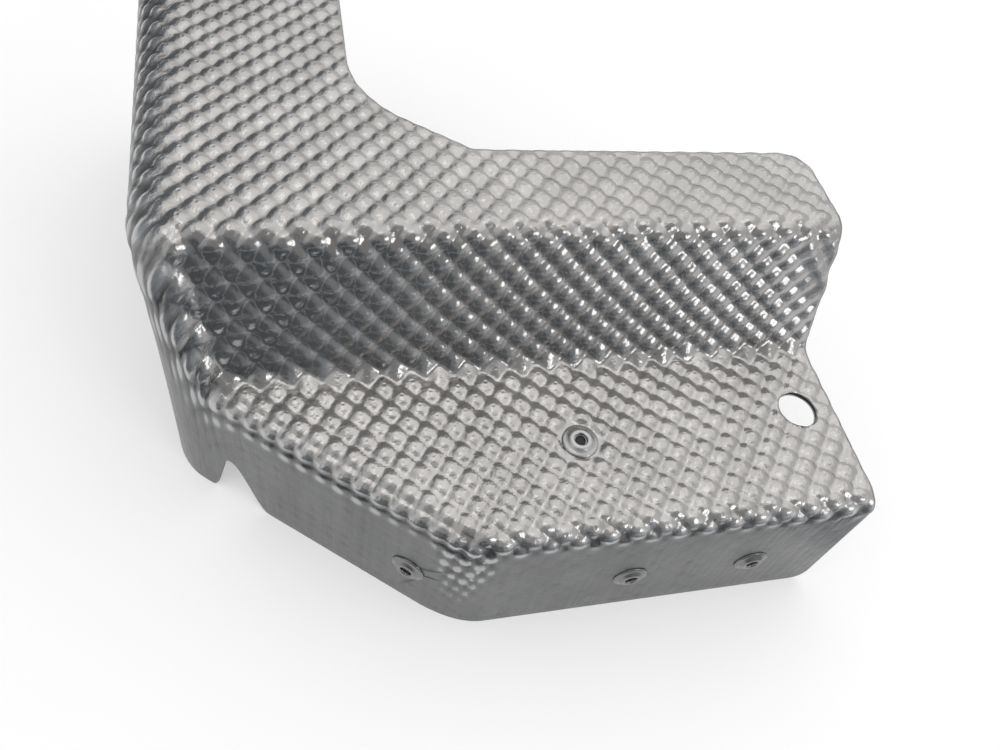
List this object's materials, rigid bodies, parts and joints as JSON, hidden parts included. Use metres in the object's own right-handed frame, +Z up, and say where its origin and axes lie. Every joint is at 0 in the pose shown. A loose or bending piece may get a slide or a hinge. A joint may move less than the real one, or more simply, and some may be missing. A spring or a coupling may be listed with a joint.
{
  "type": "battery heat insulation plate",
  "caption": "Drawn and embossed aluminium heat shield for a car battery: a stepped L-shaped top with skirts on two sides, an inner sheet and blind rivets.",
  "frame": {"origin": "middle of the part's bounding box in X and Y, on the level of the skirts' lower edges (z = 0), on which the cover stands", "axes": "+X from the left skirt along the right-hand strip, +Y from the front skirt along the arm, +Z up through the two plateaus"},
  "size_m": [0.1846, 0.1986, 0.0805],
  "materials": {
    "embossed_sheet": "bare embossed aluminium sheet, semi-matt, bright on the worked domes",
    "inner_sheet": "plain mill-finish aluminium sheet",
    "rivet_metal": "plain aluminium blind rivet, lightly tumbled",
    "mandrel_steel": "broken steel mandrel, dull grey"
  },
  "bodies": {
    "root": {"outer_shell": "embossed_sheet", "inner_shell": "inner_sheet", "rivet_shelf": "rivet_metal", "rivet_side": "rivet_metal", "rivet_front_a": "rivet_metal", "rivet_front_b": "rivet_metal", "mandrel_shelf": "mandrel_steel", "mandrel_side": "mandrel_steel", "mandrel_front_a": "mandrel_steel", "mandrel_front_b": "mandrel_steel"}
  },
  "joints": []
}
